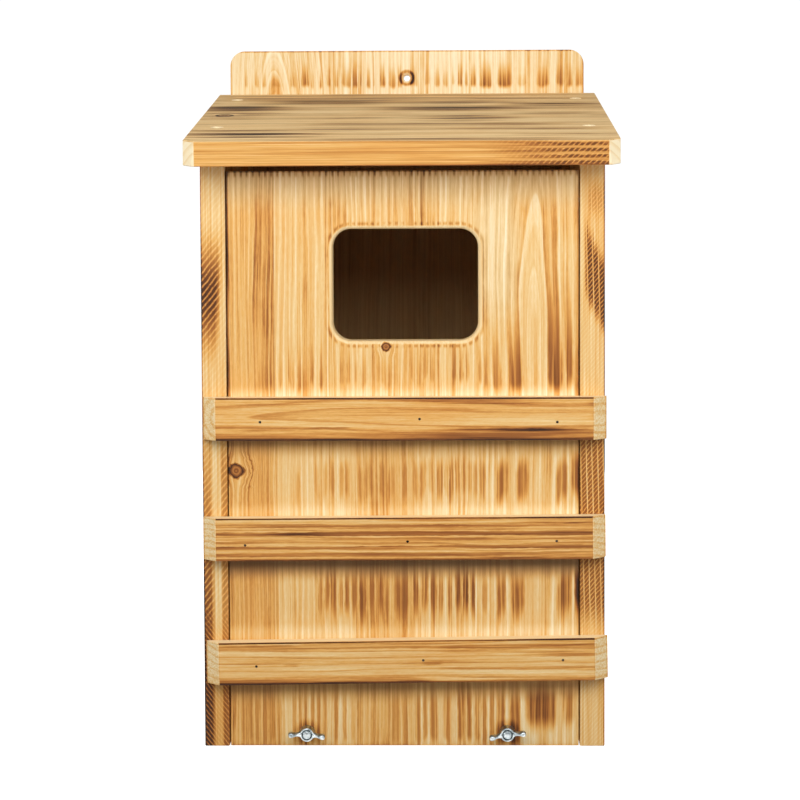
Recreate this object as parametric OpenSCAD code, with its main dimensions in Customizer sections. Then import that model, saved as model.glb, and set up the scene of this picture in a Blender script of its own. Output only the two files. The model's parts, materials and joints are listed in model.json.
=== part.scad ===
// Wall-hung wooden nest box for owls, kestrels and other hole-nesting birds, made of flame-scorched
// softwood boards. The upper front is fixed and carries the entrance. The lower front is a clean-out
// door that hangs on two pivot screws and is held shut by two wing screws in the floor's front edge.
// Millimetres. +Z up, front towards -Y. The origin is the middle of the footprint, on the ground.

/* [Boards] */
// Thickness of every board
board_t = 18; // [16:0.5:20]
// Width across both side walls, which is also the width of the back board
box_w = 292; // [280:1:320]
// Depth of the side walls, from the front face to the back board
box_depth = 242; // [220:1:260]
// Height of the side walls at the front
wall_front_h = 428; // [424:1:440]
// Height of the back board
back_h = 521; // [515:1:540]
// Radius of the back board's two top corners
back_corner_r = 12; // [6:1:18]

/* [Roof] */
// Slope of the roof, falling towards the front, in degrees
roof_slope = 9.2; // [8:0.1:9.5]
// Width of the roof board
roof_w = 310; // [304:1:340]
// How far the roof reaches past the front
roof_overhang = 36; // [26:1:50]
// Size of the 45 degree cuts across the roof's front corners
roof_chamfer = 9; // [4:0.5:14]
// Distances of the roof screws behind the front face
roof_screw_depths = [39, 205]; // [25:1:210]

/* [Front] */
// Gap between the front boards and each side wall
side_gap = 1; // [0.6:0.1:1.5]
// How far the side walls' front edges sit behind the front face
wall_setback = 0.3; // [0.3:0.1:1]
// Height of the upper panel's top edge, below which the roof leaves a ventilation gap
panel_top_z = 419.7; // [416:0.1:421]
// Height of the clean-out door's top edge, hidden behind the top rail
door_top_z = 230; // [229:0.5:231]
// Height of the clean-out door's bottom edge
door_bottom_z = 0.5; // [0.5:0.1:2]
// Gap between the door's top edge and the upper panel
panel_door_gap = 3.1; // [3.1:0.1:4]

/* [Entrance] */
// Width of the entrance
entrance_w = 105.5; // [90:0.5:115]
// Height of the entrance
entrance_h = 81; // [70:0.5:90]
// Centre of the entrance, across and up
entrance_at = [2, 337.3]; // [-5:0.1:345]
// Radius of the entrance's corners
entrance_r = 13.5; // [8:0.5:18]
// Width of the eased front edge at the left, right, top and bottom
entrance_ease = [2.2, 4.3, 2.6, 3.6]; // [1:0.1:5]

/* [Rails] */
// Length of a climbing rail
rail_len = 292; // [280:1:296]
// Height of a climbing rail
rail_h = 31; // [26:0.5:31]
// Thickness of a climbing rail
rail_t = 12; // [9:0.5:14]
// Size of the cuts across a rail's front end corners
rail_chamfer = 9.5; // [4:0.5:11]
// Heights of the top, middle and lower rails' centre lines
rail_z = [241.2, 154.4, 64.8]; // [40:0.1:250]
// How far each rail was nailed off centre
rail_shift = [1, 0.5, 2]; // [-3:0.1:3]
// How much each rail's right end was nailed high, in degrees
rail_tilt = [0, 0.28, 0.77]; // [0:0.01:1]

/* [Hanging hole] */
// Diameter of the hanging hole
hang_d = 5.5; // [4:0.1:8]
// Diameter of its countersink at the front
hang_sink_d = 9; // [8.5:0.1:12]
// Distance of its centre below the back board's top edge
hang_drop = 22.5; // [16:0.5:26]

/* [Wing screws] */
// Distance of each wing screw from the middle of the pair
stud_x = 73; // [50:1:90]
// How far the pair sits off centre
stud_shift = 2; // [-3:0.5:3]
// Height of the wing screws, within the floor board's edge
stud_z = 10; // [8:0.5:10.5]
// Diameter of the thread
stud_d = 5.9; // [5.8:0.1:5.9]
// Span of the wings from tip to tip
wing_span = 27.5; // [24:0.5:34]
// Turn of the left and right wings away from level, in degrees
wing_turn = [3.7, -7.5]; // [-20:0.1:20]

/* [Hidden] */
$fn = 48;
eps = 0.01;
fit_gap = 0.05;                 // radial room of a fastener or pivot in its hole
total_depth = roof_overhang + box_depth + board_t;
roof_front_y = -total_depth / 2;
front_y = roof_front_y + roof_overhang;      // front face of the panel and the door
inner_front_y = front_y + board_t;           // their inner face
back_y = front_y + box_depth;                // front face of the back board
rear_y = total_depth / 2;                    // rear face of the back board
half_w = box_w / 2;
inner_half_w = half_w - board_t;
front_half_w = inner_half_w - side_gap;
wall_mid_x = half_w - board_t / 2;
front_mid_y = front_y + board_t / 2;

panel_bottom_z = door_top_z + panel_door_gap;
pivot_clear = 1.2;                           // room between the open door and the top rail
pivot_z = rail_z[0] - rail_h / 2 - board_t / 2 - pivot_clear;

// A 4 x 40 countersunk wood screw
screw_d = 4;
screw_len = 40;
screw_head_d = 7.6;
screw_tip = 5;
deep_sink = 1.2;                             // roof screws are driven below the surface
flush_sink = 0.2;
pit_d = 8.2;                                 // mouth of the hole that a screw head sinks into

// A thin nail with a small head
nail_d = 1.3;
nail_len = 26;
nail_head_d = 2;
nail_head_t = 0.8;
nail_sink = 0.3;
// Where the three nails of each rail were driven: along the rail, and above its centre line
nails_top = [[-104, -2], [11, 0], [110, -2.4]];
nails_middle = [[-115, -4], [2.5, -2], [110, -2.3]];
nails_lower = [[-109, -2], [12, 0.8], [113, -0.4]];

// Screw heights and depths that the front does not show
back_screw_zs = [60, 240, 420];
floor_screw_ys = [-40, 80];
floor_back_screw_x = 60;
floor_mid_z = board_t / 2;
panel_screw_zs = [272, 398];

floor_gap = 0.5;                             // room between the door and the floor's front edge
floor_front_y = inner_front_y + floor_gap;
stud_core_d = 4.77;                          // core of an M6 thread
stud_grip = 7;                               // how far the stud reaches into its insert
stud_front_y = front_y - 8.7;
stud_rear_y = floor_front_y + stud_grip;
stud_shoulder_y = inner_front_y - 1;
stud_hole_d = 6.6;
insert_d = 9.6;
insert_len = 13;
insert_bore_d = 6;
nut_base_d = 12;
nut_top_d = 9.4;
nut_hub_h = 7.4;
nut_stand_off = 0.2;                         // nut's base to the door's face
nut_wing_h = 12.6;
nut_bore_d = stud_d + 2 * fit_gap;

// Height of the side walls' sloping top edge, and of the roof's upper surface, at a depth y
function wall_top(y) = wall_front_h + (y - front_y) * tan(roof_slope);
function roof_top(y) = wall_top(y) + board_t / cos(roof_slope);

// ---- shared shapes ----

// A box between two corners
module block(low, high) {
    translate(low) cube(high - low);
}

// A rectangle with round corners, centred
module round_rect(w, h, r) {
    square([w - 2 * r, h], center = true);
    square([w, h - 2 * r], center = true);
    for (x = [-1, 1], z = [-1, 1])
        translate([x * (w / 2 - r), z * (h / 2 - r)]) circle(r = r);
}

// A flat outline drawn in X and Z, extruded towards +Y from y
module facing_front(y, t) {
    translate([0, y + t, 0]) rotate([90, 0, 0]) linear_extrude(t) children();
}

// A countersunk screw driven along -Z from the surface at z = 0
module screw(sink = flush_sink) {
    cone = (screw_head_d - screw_d) / 2;
    rotate_extrude() polygon([
        [0, -sink], [screw_head_d / 2, -sink], [screw_d / 2, -sink - cone],
        [screw_d / 2, screw_tip - screw_len], [0, -screw_len]
    ]);
}

// The hole that such a screw fills, with its head's pit
module screw_hole(sink = flush_sink) {
    cone = (pit_d - screw_d) / 2;
    shaft_r = screw_d / 2 + fit_gap;
    rotate_extrude() polygon([
        [0, 1], [pit_d / 2, 1], [pit_d / 2, -sink], [shaft_r, -sink - cone],
        [shaft_r, screw_tip - screw_len], [shaft_r, -screw_len - 1], [0, -screw_len - 1]
    ]);
}

module nail() {
    translate([0, 0, -nail_sink - nail_head_t]) cylinder(d = nail_head_d, h = nail_head_t);
    translate([0, 0, -nail_len]) cylinder(d = nail_d, h = nail_len - nail_sink - nail_head_t + eps);
}

module nail_hole() {
    head_floor = nail_sink + nail_head_t + fit_gap;
    translate([0, 0, -head_floor]) cylinder(d = nail_head_d + 2 * fit_gap, h = head_floor + 1);
    translate([0, 0, -nail_len - 0.2]) cylinder(d = nail_d + 2 * fit_gap, h = nail_len);
}

// ---- where the fasteners go; each place has its -Z along the fastener, from the surface ----

module roof_screw_places() {
    for (x = [-wall_mid_x, wall_mid_x], depth = roof_screw_depths)
        translate([x, front_y + depth, roof_top(front_y + depth)]) rotate([roof_slope, 0, 0]) children();
}

// Through the back board from behind
module from_behind(x, z) {
    translate([x, rear_y, z]) rotate([-90, 0, 0]) children();
}

// Through a side wall from outside; side is -1 at the left and 1 at the right
module from_side(side, y, z) {
    translate([side * half_w, y, z]) rotate([0, side * 90, 0]) children();
}

module back_screw_places(side) {
    for (z = back_screw_zs) from_behind(side * wall_mid_x, z) children();
}

module floor_back_screw_places() {
    for (x = [-floor_back_screw_x, floor_back_screw_x]) from_behind(x, floor_mid_z) children();
}

module floor_screw_places(side) {
    for (y = floor_screw_ys) from_side(side, y, floor_mid_z) children();
}

module panel_screw_places(side) {
    for (z = panel_screw_zs) from_side(side, front_mid_y, z) children();
}

module pivot_screw_place(side) {
    from_side(side, front_mid_y, pivot_z) children();
}

// A rail's own frame: origin at the middle of its rear face
module rail_place(i) {
    translate([rail_shift[i], front_y, rail_z[i]]) rotate([0, -rail_tilt[i], 0]) children();
}

module nail_places(i, spots) {
    rail_place(i)
        for (spot = spots)
            translate([spot[0], -rail_t, spot[1]]) rotate([90, 0, 0]) children();
}

function stud_at(side) = stud_shift + side * stud_x;

// ---- boards ----

module back_board() {
    color("burlywood") difference() {
        facing_front(back_y, board_t) {
            translate([-half_w, 0]) square([box_w, back_h - back_corner_r]);
            translate([back_corner_r - half_w, 0]) square([box_w - 2 * back_corner_r, back_h]);
            for (x = [-1, 1])
                translate([x * (half_w - back_corner_r), back_h - back_corner_r]) circle(r = back_corner_r);
        }
        translate([0, back_y, back_h - hang_drop]) rotate([-90, 0, 0]) {
            translate([0, 0, -1]) cylinder(d = hang_d, h = board_t + 2);
            translate([0, 0, -eps]) cylinder(d1 = hang_sink_d + 2 * eps, d2 = hang_d,
                                             h = (hang_sink_d - hang_d) / 2 + eps);
        }
        for (side = [-1, 1]) back_screw_places(side) screw_hole();
        floor_back_screw_places() screw_hole();
    }
}

// A side wall with its sloping top edge
module side_wall(side) {
    wall_front_y = front_y + wall_setback;
    low_x = side < 0 ? -half_w : inner_half_w;
    color("tan") difference() {
        translate([low_x, 0, 0]) rotate([90, 0, 90]) linear_extrude(board_t)
            polygon([
                [wall_front_y, 0], [back_y, 0],
                [back_y, wall_top(back_y)], [wall_front_y, wall_top(wall_front_y)]
            ]);
        roof_screw_places() screw_hole(deep_sink);
        back_screw_places(side) screw_hole();
        floor_screw_places(side) screw_hole();
        panel_screw_places(side) screw_hole();
        pivot_screw_place(side) screw_hole();
    }
}

module floor_board() {
    color("wheat") difference() {
        block([-inner_half_w, floor_front_y, 0], [inner_half_w, back_y, board_t]);
        for (side = [-1, 1]) {
            floor_screw_places(side) screw_hole();
            translate([stud_at(side), floor_front_y, stud_z]) rotate([-90, 0, 0]) {
                translate([0, 0, -1]) cylinder(d = insert_d + 2 * fit_gap, h = insert_len + 1);
                cylinder(d = insert_bore_d, h = insert_len + 6);
            }
        }
        floor_back_screw_places() screw_hole();
    }
}

module roof_board() {
    slope_t = board_t / cos(roof_slope);
    front_top = roof_top(roof_front_y);
    color("peru") difference() {
        intersection() {
            translate([-roof_w / 2, 0, 0]) rotate([90, 0, 90]) linear_extrude(roof_w)
                polygon([
                    [roof_front_y, front_top], [back_y, roof_top(back_y)],
                    [back_y, roof_top(back_y) - slope_t],
                    [roof_front_y + board_t * sin(roof_slope), front_top - board_t * cos(roof_slope)]
                ]);
            linear_extrude(back_h)
                polygon([
                    [-roof_w / 2, back_y + 1], [-roof_w / 2, roof_front_y + roof_chamfer],
                    [roof_chamfer - roof_w / 2, roof_front_y], [roof_w / 2 - roof_chamfer, roof_front_y],
                    [roof_w / 2, roof_front_y + roof_chamfer], [roof_w / 2, back_y + 1]
                ]);
        }
        roof_screw_places() screw_hole(deep_sink);
    }
}

// The entrance's outline grown by the ease at the left, right, top and bottom
module entrance_outline(ease = [0, 0, 0, 0]) {
    grown = max(ease);
    translate([entrance_at[0] + (ease[1] - ease[0]) / 2, entrance_at[1] + (ease[2] - ease[3]) / 2])
        round_rect(entrance_w + ease[0] + ease[1], entrance_h + ease[2] + ease[3], entrance_r + grown / 2);
}

module upper_front_panel() {
    ease_depth = min(entrance_ease);
    color("navajowhite") difference() {
        block([-front_half_w, front_y, panel_bottom_z], [front_half_w, inner_front_y, panel_top_z]);
        facing_front(front_y - 1, board_t + 2) entrance_outline();
        hull() {
            facing_front(front_y - eps, eps) entrance_outline(entrance_ease);
            facing_front(front_y + ease_depth, eps) entrance_outline();
        }
        for (side = [-1, 1]) panel_screw_places(side) screw_hole();
        nail_places(0, nails_top) nail_hole();
    }
}

module clean_out_door() {
    color("navajowhite") difference() {
        block([-front_half_w, front_y, door_bottom_z], [front_half_w, inner_front_y, door_top_z]);
        for (side = [-1, 1]) {
            pivot_screw_place(side) screw_hole();
            translate([stud_at(side), front_y - 1, stud_z]) rotate([-90, 0, 0])
                cylinder(d = stud_hole_d, h = board_t + 2);
        }
        nail_places(1, nails_middle) nail_hole();
        nail_places(2, nails_lower) nail_hole();
    }
}

// A climbing rail across the whole width, with its front end corners cut off
module rail(i, nails) {
    end = rail_len / 2;
    color("sandybrown") difference() {
        rail_place(i) translate([0, 0, -rail_h / 2]) linear_extrude(rail_h)
            polygon([
                [-end, 0], [-end, rail_chamfer - rail_t], [rail_chamfer - end, -rail_t],
                [end - rail_chamfer, -rail_t], [end, rail_chamfer - rail_t], [end, 0]
            ]);
        nail_places(i, nails) nail_hole();
    }
}

// ---- fasteners ----

module threaded_insert(side) {
    color("goldenrod") translate([stud_at(side), floor_front_y, stud_z]) rotate([-90, 0, 0])
        difference() {
            cylinder(d = insert_d, h = insert_len - fit_gap);
            translate([0, 0, -1]) cylinder(d = insert_bore_d, h = insert_len + 2);
        }
}

// The screw's shank: full diameter through the nut and the door, thread core inside the insert
module stud(side) {
    tip_chamfer = 0.6;
    color("silver") translate([stud_at(side), 0, stud_z]) rotate([-90, 0, 0]) rotate_extrude()
        polygon([
            [0, stud_front_y], [stud_d / 2 - tip_chamfer, stud_front_y],
            [stud_d / 2, stud_front_y + tip_chamfer], [stud_d / 2, stud_shoulder_y],
            [stud_core_d / 2, stud_shoulder_y + tip_chamfer], [stud_core_d / 2, stud_rear_y - tip_chamfer],
            [stud_core_d / 2 - tip_chamfer, stud_rear_y], [0, stud_rear_y]
        ]);
}

// One wing, from the hub towards +X and away from the door, which is along +Z here
module wing() {
    tip_r = 3.4;
    wing_t = 1.3;
    hull() {
        translate([nut_top_d / 2 - 0.9, 0, 3.4]) sphere(r = 1.7, $fn = 24);
        translate([nut_top_d / 2 - 1.2, 0, nut_hub_h - 1.6]) sphere(r = 1.4, $fn = 24);
        translate([wing_span / 2 - tip_r, wing_t, nut_wing_h - tip_r]) rotate([90, 0, 0])
            cylinder(r = tip_r, h = 2 * wing_t, $fn = 32);
    }
}

module wing_nut(side) {
    turn = side < 0 ? wing_turn[0] : wing_turn[1];
    color("gainsboro") translate([stud_at(side), front_y - nut_stand_off, stud_z])
        rotate([90, turn, 0]) difference() {
            union() {
                cylinder(d1 = nut_base_d, d2 = nut_top_d, h = nut_hub_h);
                wing();
                rotate([0, 0, 180]) wing();
            }
            translate([0, 0, -1]) cylinder(d = nut_bore_d, h = nut_wing_h + 2);
        }
}

back_board();
side_wall(-1);  // left_side_wall
side_wall(1);  // right_side_wall
floor_board();
roof_board();
upper_front_panel();
rail(0, nails_top);  // top_rail
clean_out_door();
rail(1, nails_middle);  // middle_rail
rail(2, nails_lower);  // lower_rail
color("gray") roof_screw_places() screw(deep_sink);  // roof_screws
color("gray") back_screw_places(-1) screw();  // left_back_screws
color("gray") back_screw_places(1) screw();  // right_back_screws
color("gray") floor_back_screw_places() screw();  // floor_back_screws
color("gray") floor_screw_places(-1) screw();  // left_floor_screws
color("gray") floor_screw_places(1) screw();  // right_floor_screws
color("gray") panel_screw_places(-1) screw();  // left_panel_screws
color("gray") panel_screw_places(1) screw();  // right_panel_screws
color("gray") pivot_screw_place(-1) screw();  // left_pivot_screw
color("gray") pivot_screw_place(1) screw();  // right_pivot_screw
color("dimgray") nail_places(0, nails_top) nail();  // top_rail_nails
color("dimgray") nail_places(1, nails_middle) nail();  // middle_rail_nails
color("dimgray") nail_places(2, nails_lower) nail();  // lower_rail_nails
threaded_insert(-1);  // left_threaded_insert
threaded_insert(1);  // right_threaded_insert
stud(-1);  // left_stud
stud(1);  // right_stud
wing_nut(-1);  // left_wing_nut
wing_nut(1);  // right_wing_nut
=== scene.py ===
import json
import math
from dataclasses import dataclass

import bmesh
import bpy
from mathutils import Matrix, Vector

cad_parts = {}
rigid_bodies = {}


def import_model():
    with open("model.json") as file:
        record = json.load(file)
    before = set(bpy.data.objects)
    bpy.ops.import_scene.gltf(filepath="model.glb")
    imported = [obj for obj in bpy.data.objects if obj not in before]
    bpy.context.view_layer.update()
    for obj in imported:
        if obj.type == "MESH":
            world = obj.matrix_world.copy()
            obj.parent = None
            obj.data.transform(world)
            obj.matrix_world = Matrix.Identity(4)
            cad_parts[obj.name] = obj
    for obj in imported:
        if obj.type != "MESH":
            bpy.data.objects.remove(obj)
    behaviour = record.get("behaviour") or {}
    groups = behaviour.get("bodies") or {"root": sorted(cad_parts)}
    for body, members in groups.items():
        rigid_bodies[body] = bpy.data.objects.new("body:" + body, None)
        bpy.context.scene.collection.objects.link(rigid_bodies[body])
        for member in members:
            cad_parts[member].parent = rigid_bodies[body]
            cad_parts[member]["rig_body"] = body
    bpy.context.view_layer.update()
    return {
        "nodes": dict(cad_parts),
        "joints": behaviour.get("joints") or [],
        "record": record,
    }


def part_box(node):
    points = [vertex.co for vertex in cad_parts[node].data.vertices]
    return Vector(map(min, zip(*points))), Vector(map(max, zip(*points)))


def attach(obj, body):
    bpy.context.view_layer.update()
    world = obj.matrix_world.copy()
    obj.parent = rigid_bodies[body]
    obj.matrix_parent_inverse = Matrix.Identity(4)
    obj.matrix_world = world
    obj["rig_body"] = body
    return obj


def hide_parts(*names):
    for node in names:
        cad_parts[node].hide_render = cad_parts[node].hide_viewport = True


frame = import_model()

# ---- sizes, in millimetres
# Meshes are made in millimetres, and place_piece() brings each one into the frame's metres.

MM = 0.001
TURN = 2 * math.pi
X, Y, Z = 0, 1, 2
SIDES = {"left": -1, "right": 1}


def box_mm(node):
    low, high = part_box(node)
    return low / MM, high / MM


back_low, back_high = box_mm("back_board")
_, wall_high = box_mm("left_side_wall")
floor_low, floor_high = box_mm("floor_board")
roof_low, roof_high = box_mm("roof_board")
panel_low, panel_high = box_mm("upper_front_panel")
door_low, door_high = box_mm("clean_out_door")

board_t = floor_high.z - floor_low.z
half_w = back_high.x
front_y = panel_low.y
back_y = back_low.y
rear_y = back_high.y
front_mid_y = front_y + board_t / 2
wall_mid_x = half_w - board_t / 2
roof_slope = math.radians(9.2)
roof_cut = 9                # size of the cuts across the roof's front corners
edge_r = 0.6                # softened edges of the sawn boards
RAIL_T, RAIL_H = 12, 31     # thickness and height of a climbing rail
RAIL_CUT = 9.5              # size of the cuts at its ends

entrance_x, entrance_z = 2, 337.3
entrance_w, entrance_h = 105.5, 81
entrance_low = (entrance_x - entrance_w / 2, entrance_z - entrance_h / 2)
entrance_high = (entrance_x + entrance_w / 2, entrance_z + entrance_h / 2)
entrance_r = 13.5           # radius of its corners
hanging_hole = next(m for m in frame["record"]["mounts"] if m["name"] == "hanging_hole")
hole_x = hanging_hole["pos_m"][X] / MM
hole_z = hanging_hole["pos_m"][Z] / MM
door_hinge = next(j for j in frame["joints"] if j["name"] == "door_hinge")
pivot_z = door_hinge["pos_m"][Z] / MM
stud_z = 10                 # height of the wing screws


def stud_x(side):
    low, high = box_mm("left_stud" if side < 0 else "right_stud")
    return (low.x + high.x) / 2


def roof_top(y):
    """Height of the roof's upper surface at a depth y."""
    return roof_high.z + (y - roof_high.y) * math.tan(roof_slope)


def roof_under(y):
    """Height of its lower surface."""
    return roof_top(y) - board_t / math.cos(roof_slope)


# ---- meshes

def make_object(name, bm):
    bmesh.ops.recalc_face_normals(bm, faces=bm.faces)
    mesh = bpy.data.meshes.new(name)
    bm.to_mesh(mesh)
    bm.free()
    obj = bpy.data.objects.new(name, mesh)
    bpy.context.scene.collection.objects.link(obj)
    return obj


def apply_modifiers(obj):
    """Replaces the object's mesh by its modified mesh."""
    bpy.context.view_layer.update()
    modified = obj.evaluated_get(bpy.context.evaluated_depsgraph_get())
    mesh = bpy.data.meshes.new_from_object(modified)
    obj.modifiers.clear()
    obj.data = mesh


def carve(obj, *cutters):
    """Cuts the cutters' shapes out of the object and deletes the cutters."""
    for cutter in cutters:
        cut = obj.modifiers.new("cut", "BOOLEAN")
        cut.operation = "DIFFERENCE"
        cut.solver = "EXACT"
        cut.object = cutter
        apply_modifiers(obj)
        bpy.data.objects.remove(cutter)


def skin(bm, rings, closed_ends=True):
    """Joins rings of equal length into a tube; a ring of one vertex is a tip."""
    for low, high in zip(rings, rings[1:]):
        count = max(len(low), len(high))
        for i in range(count):
            j = (i + 1) % count
            if len(low) == 1:
                bm.faces.new((low[0], high[i], high[j]))
            elif len(high) == 1:
                bm.faces.new((low[i], low[j], high[0]))
            else:
                bm.faces.new((low[i], low[j], high[j], high[i]))
    for ring in (rings[0], rings[-1]):
        if closed_ends and len(ring) > 1:
            bm.faces.new(ring)


def circle(bm, radius, height, place=Matrix(), segments=48):
    """A ring of vertices round Z, or a single vertex where the radius is 0."""
    corners = segments if radius else 1
    angles = [TURN * i / corners for i in range(corners)]
    spots = [Vector((radius * math.cos(a), radius * math.sin(a), height)) for a in angles]
    return [bm.verts.new(place @ spot) for spot in spots]


def revolve(bm, profile, place=Matrix(), segments=48):
    """A solid of revolution about Z; the profile is (radius, height) pairs from end to end."""
    skin(bm, [circle(bm, radius, height, place, segments) for radius, height in profile])


def drill(profile, place=Matrix(), segments=48):
    """A cutter of revolution, whose profile is given without its two ends on the axis."""
    bm = bmesh.new()
    revolve(bm, [(0, profile[0][1]), *profile, (0, profile[-1][1])], place, segments)
    return make_object("cutter", bm)


def threaded(bm, low, high, root_r, crest_r, pitch, segments, per_pitch, place=Matrix(), run_out=1):
    """Rings of a screw thread from low to high along Z, fading into plain ends over run_out."""
    rings = []
    count = round((high - low) / pitch * per_pitch)
    for n in range(count + 1):
        z = low + (high - low) * n / count
        fade = min(1, (z - low) / run_out, (high - z) / run_out)
        ring = []
        for i in range(segments):
            turn = (z / pitch - i / segments) % 1
            tooth = 1 - abs(2 * turn - 1)
            radius = root_r + (crest_r - root_r) * fade * min(1, 1.25 * tooth)
            angle = TURN * i / segments
            ring.append(bm.verts.new(place @ Vector((radius * math.cos(angle), radius * math.sin(angle), z))))
        rings.append(ring)
    return rings


def slab(outline, axis, low, high):
    """A flat outline carried along one axis."""
    def at(point, depth):
        spot = list(point)
        spot.insert(axis, depth)
        return spot

    bm = bmesh.new()
    skin(bm, [[bm.verts.new(at(p, depth)) for p in outline] for depth in (low, high)])
    bmesh.ops.recalc_face_normals(bm, faces=bm.faces)
    return bm


def soften(bm, width):
    """Rounds every sharp edge a little."""
    sharp = [e for e in bm.edges if e.calc_face_angle() > math.radians(20)]
    bmesh.ops.bevel(bm, geom=sharp, offset=width, segments=3, profile=0.5, affect="EDGES", clamp_overlap=True)


def prism(name, outline, axis, low, high, soft=edge_r):
    """A board: a flat outline carried along one axis, with softened edges."""
    bm = slab(outline, axis, low, high)
    soften(bm, soft)
    return make_object(name, bm)


def block(name, low, high, soft=edge_r):
    outline = [(low.x, low.y), (high.x, low.y), (high.x, high.y), (low.x, high.y)]
    return prism(name, outline, Z, low.z, high.z, soft)


def arc(centre, radius, start, end, steps):
    """Points on an arc, with angles in degrees."""
    angles = [math.radians(start + (end - start) * i / steps) for i in range(steps + 1)]
    return [(centre[0] + radius * math.cos(a), centre[1] + radius * math.sin(a)) for a in angles]


def round_rectangle(low, high, radius):
    left, right = low[0] + radius, high[0] - radius
    bottom, top = low[1] + radius, high[1] - radius
    outline = []
    for n, centre in enumerate(((right, top), (left, top), (left, bottom), (right, bottom))):
        outline += arc(centre, radius, 90 * n, 90 * n + 90, 20)
    return outline


def copies(name, mesh, places):
    """One object holding a copy of a mesh at each place."""
    bm = bmesh.new()
    for place in places:
        start = len(bm.verts)
        bm.from_mesh(mesh)
        bm.verts.ensure_lookup_table()
        bmesh.ops.transform(bm, matrix=place, verts=bm.verts[start:])
    return make_object(name, bm)


SMOOTH_BELOW = math.radians(38)
FLAT_FROM = 25              # a face of this many square millimetres is shaded flat


def place_piece(obj, node, material):
    """Brings a finished mesh into the frame in place of a CAD node."""
    mesh = obj.data
    mesh.shade_smooth()
    mesh.set_sharp_from_angle(angle=SMOOTH_BELOW)
    for face in mesh.polygons:
        face.use_smooth = face.area < FLAT_FROM
    mesh.transform(Matrix.Scale(MM, 4))
    mesh.materials.clear()
    mesh.materials.append(material)
    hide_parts(node)
    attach(obj, frame["nodes"][node]["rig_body"])


# ---- where the fasteners go
# Each place has its -Z along the fastener, from the surface that it is driven into.

FLUSH, SUNK = 0.2, 1.2      # depth of a screw's head below the surface
SCREW_LEN, SCREW_R, HEAD_R, PIT_R = 40, 2.0, 3.8, 4.1
FIT = 0.05                  # room round a screw's shank, and round an insert
ROOF_SCREW_YS = (-73, 93)


def facing(direction, spot):
    turn = Vector(direction).to_track_quat("Z", "Y").to_matrix().to_4x4()
    return Matrix.Translation(spot) @ turn


def from_front(x, y, z):
    return facing((0, -1, 0), (x, y, z))


def from_behind(x, z):
    return facing((0, 1, 0), (x, rear_y, z))


def from_side(side, y, z):
    return facing((side, 0, 0), (side * half_w, y, z))


def on_roof(x, y):
    return facing((0, -math.sin(roof_slope), math.cos(roof_slope)), (x, y, roof_top(y)))


screw_places = {
    "roof_screws": [on_roof(x, y) for x in (-wall_mid_x, wall_mid_x) for y in ROOF_SCREW_YS],
    "floor_back_screws": [from_behind(x, board_t / 2) for x in (-60, 60)],
}
for side_name, side in SIDES.items():
    screw_places |= {
        side_name + "_back_screws": [from_behind(side * wall_mid_x, z) for z in (60, 240, 420)],
        side_name + "_floor_screws": [from_side(side, y, board_t / 2) for y in (-40, 80)],
        side_name + "_panel_screws": [from_side(side, front_mid_y, z) for z in (272, 398)],
        side_name + "_pivot_screw": [from_side(side, front_mid_y, pivot_z)],
    }


def screw_hole(place, sink=FLUSH):
    cone = PIT_R - SCREW_R - FIT
    profile = [(PIT_R, 1), (PIT_R, -sink), (SCREW_R + FIT, -sink - cone), (SCREW_R + FIT, -SCREW_LEN - 1)]
    return drill(profile, place, 40)


def head_sink(node):
    return SUNK if node == "roof_screws" else FLUSH


def screw_holes(*nodes):
    return [screw_hole(place, head_sink(node)) for node in nodes for place in screw_places[node]]


# ---- node materials

class Value:
    """A number or colour in a node tree, so that sums of them read as plain sums."""

    def __init__(self, shader, socket):
        self.shader = shader
        self.socket = socket

    def __add__(self, other):
        return self.shader.math("ADD", self, other)

    def __radd__(self, other):
        return self.shader.math("ADD", other, self)

    def __sub__(self, other):
        return self.shader.math("SUBTRACT", self, other)

    def __rsub__(self, other):
        return self.shader.math("SUBTRACT", other, self)

    def __mul__(self, other):
        return self.shader.math("MULTIPLY", self, other)

    def __truediv__(self, other):
        return self.shader.math("DIVIDE", self, other)

    def __abs__(self):
        return self.shader.math("ABSOLUTE", self)


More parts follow.
